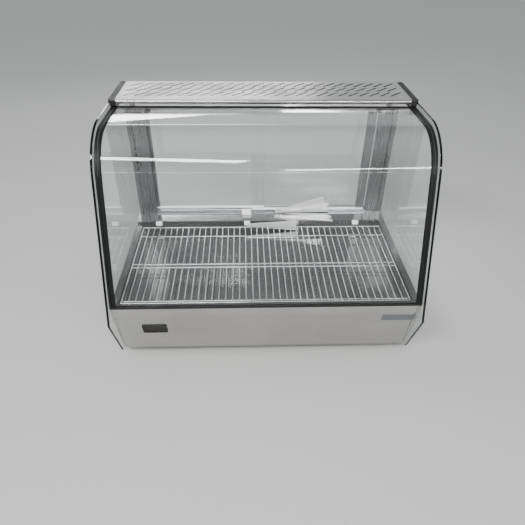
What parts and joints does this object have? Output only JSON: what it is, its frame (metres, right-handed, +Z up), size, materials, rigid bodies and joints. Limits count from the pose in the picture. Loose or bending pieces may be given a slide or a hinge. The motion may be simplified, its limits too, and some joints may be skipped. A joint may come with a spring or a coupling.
{
  "type": "bakery display case",
  "caption": "Countertop bakery display case: curved front glass between flat side panes, polished base with wire rack, vented canopy and sliding rear doors.",
  "frame": {"origin": "bottom centre of the whole case, on the surface it stands on", "axes": "+X to the right seen from the front, +Y towards the rear doors, +Z up"},
  "size_m": [0.874, 0.568, 0.68],
  "materials": {
    "side_glass": "clear toughened, green edge",
    "front_glass": "clear toughened, bent",
    "door_glass": "clear toughened",
    "polished_stainless": "mirror polished",
    "brushed_stainless": "brushed",
    "galvanised_steel": "dull",
    "chromed_wire": "bright",
    "black_rubber": "matt",
    "black_plastic": "fine grain",
    "dark_plastic_strip": "fine grain",
    "white_nylon": "satin",
    "aluminium": "satin anodised",
    "heater_steel": "heat darkened",
    "screw_steel": "bright zinc",
    "display_lens": "smoked gloss",
    "badge": "plain satin plate",
    "red_rocker": "translucent red",
    "green_rocker": "translucent green",
    "thermostat_case": "moulded",
    "lamp_glass": "frosted"
  },
  "bodies": {
    "case": {"base_floor": "brushed_stainless", "blank_badge": "badge", "cable_inlet": "black_plastic", "canopy_ceiling": "brushed_stainless", "canopy_front_rail": "brushed_stainless", "canopy_front_trim": "polished_stainless", "canopy_top_panel": "brushed_stainless", "curved_front_glass": "front_glass", "deck_pan": "polished_stainless", "display_bezel": "black_plastic", "display_lens": "display_lens", "door_centre_guide": "white_nylon", "door_stops": "black_rubber", "element_clips": "galvanised_steel", "front_fascia": "polished_stainless", "heat_shield": "galvanised_steel", "heating_element": "heater_steel", "lamp_holders": "black_plastic", "lamp_tube": "lamp_glass", "left_base_side": "brushed_stainless", "left_canopy_strip": "dark_plastic_strip", "left_rear_post": "brushed_stainless", "left_side_pane": "side_glass", "left_side_seal": "black_rubber", "left_trim_end_cap": "black_plastic", "light_switch_housing": "black_plastic", "lower_door_track": "aluminium", "power_switch_housing": "black_plastic", "rack_stops": "white_nylon", "rear_control_panel": "brushed_stainless", "rear_panel_screws": "screw_steel", "right_base_side": "brushed_stainless", "right_canopy_strip": "dark_plastic_strip", "right_rear_post": "brushed_stainless", "right_side_pane": "side_glass", "right_side_seal": "black_rubber", "right_trim_end_cap": "black_plastic", "rubber_feet": "black_rubber", "side_pane_pads": "black_rubber", "sill_gasket": "black_rubber", "terminal_block": "thermostat_case", "thermostat_body": "thermostat_case", "top_glass_gasket": "black_rubber", "upper_door_track": "aluminium"},
    "left_door": {"left_door_glass": "door_glass", "left_door_stile": "aluminium", "left_door_glides": "white_nylon"},
    "right_door": {"right_door_glass": "door_glass", "right_door_stile": "aluminium", "right_door_glides": "white_nylon"},
    "knob": {"thermostat_knob": "black_plastic"},
    "power_switch_rocker": {"power_rocker": "red_rocker"},
    "light_switch_rocker": {"light_rocker": "green_rocker"},
    "rack": {"wire_rack": "chromed_wire"},
    "bracket_1": {"shelf_bracket_1": "brushed_stainless"},
    "bracket_2": {"shelf_bracket_2": "brushed_stainless"},
    "bracket_3": {"shelf_bracket_3": "brushed_stainless"},
    "bracket_4": {"shelf_bracket_4": "brushed_stainless"}
  },
  "joints": [
    {"name": "left_door_slide", "type": "slide", "parent": "case", "child": "left_door", "axis": [1, 0, 0], "range_m": [0, 0.38]},
    {"name": "right_door_slide", "type": "slide", "parent": "case", "child": "right_door", "axis": [-1, 0, 0], "range_m": [0, 0.331]},
    {"name": "thermostat_knob_turn", "type": "hinge", "parent": "case", "child": "knob", "pos_m": [0.215, 0.264, 0.128], "axis": [0, -1, 0], "range_deg": [0, 270]},
    {"name": "power_rocker_tilt", "type": "hinge", "parent": "case", "child": "power_switch_rocker", "pos_m": [0.33, 0.2605, 0.128], "axis": [1, 0, 0], "range_deg": [0, 16]},
    {"name": "light_rocker_tilt", "type": "hinge", "parent": "case", "child": "light_switch_rocker", "pos_m": [0.285, 0.2605, 0.128], "axis": [1, 0, 0], "range_deg": [0, 16]},
    {"name": "rack_lift", "type": "slide", "parent": "case", "child": "rack", "axis": [0, 0, 1], "range_m": [0, 0.05]},
    {"name": "bracket_1_lift", "type": "slide", "parent": "case", "child": "bracket_1", "axis": [0, 0, 1], "range_m": [0, 0.12]},
    {"name": "bracket_2_lift", "type": "slide", "parent": "case", "child": "bracket_2", "axis": [0, 0, 1], "range_m": [0, 0.12]},
    {"name": "bracket_3_lift", "type": "slide", "parent": "case", "child": "bracket_3", "axis": [0, 0, 1], "range_m": [0, 0.12]},
    {"name": "bracket_4_lift", "type": "slide", "parent": "case", "child": "bracket_4", "axis": [0, 0, 1], "range_m": [0, 0.12]}
  ]
}
